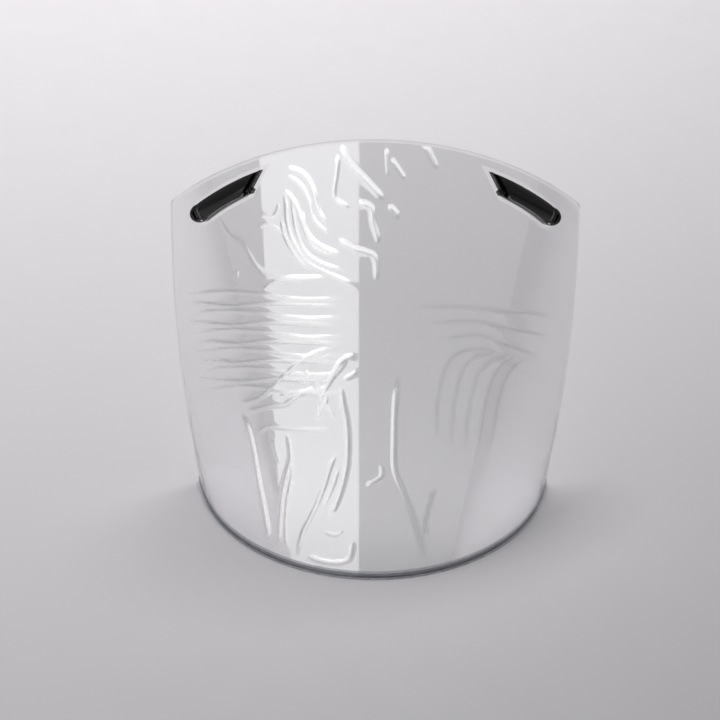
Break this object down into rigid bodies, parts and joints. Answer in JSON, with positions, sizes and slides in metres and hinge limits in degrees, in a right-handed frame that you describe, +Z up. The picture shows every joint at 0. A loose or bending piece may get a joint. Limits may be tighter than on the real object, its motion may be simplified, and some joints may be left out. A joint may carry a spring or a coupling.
{
  "type": "face shield window",
  "caption": "Clear curved face shield window with a wrinkled protective film, a smoke edge trim and black lever clips that hook it to a headgear rim.",
  "frame": {"origin": "middle of the base, on the surface that the window stands on, halfway between its front and its back corners", "axes": "+Z up, the outside of the window faces -Y and the wearer's side is +Y; +X is right as seen from the front"},
  "size_m": [0.2298, 0.1335, 0.22],
  "materials": {
    "clear_sheet": "clear polished polycarbonate",
    "clear_film": "clear thin protective film, glossy, wrinkled",
    "smoke_trim": "smoke grey translucent vinyl, glossy",
    "gloss_black": "glossy moulded black nylon",
    "satin_black": "satin moulded black nylon",
    "pad_rubber": "soft dark grey rubber",
    "steel": "plain stainless steel"
  },
  "bodies": {
    "window": {"visor_window": "clear_sheet", "outer_film": "clear_film", "bottom_edge_trim": "smoke_trim", "left_clip_base": "gloss_black", "right_clip_base": "gloss_black", "left_rear_plate": "satin_black", "right_rear_plate": "satin_black", "left_rim_pad": "pad_rubber", "right_rim_pad": "pad_rubber", "lever_pins": "steel", "clip_screws": "steel", "clip_nuts": "steel"},
    "right_lever": {"right_clip_lever": "gloss_black"},
    "left_lever": {"left_clip_lever": "gloss_black"}
  },
  "joints": [
    {"name": "right_lever_hinge", "type": "hinge", "parent": "window", "child": "right_lever", "pos_m": [0.09715, 0.04325, 0.16873], "axis": [0.4042, 0.5525, 0.729], "range_deg": [0, 75]},
    {"name": "left_lever_hinge", "type": "hinge", "parent": "window", "child": "left_lever", "pos_m": [-0.09715, 0.04325, 0.16873], "axis": [0.4042, -0.5525, -0.729], "range_deg": [0, 75]}
  ]
}
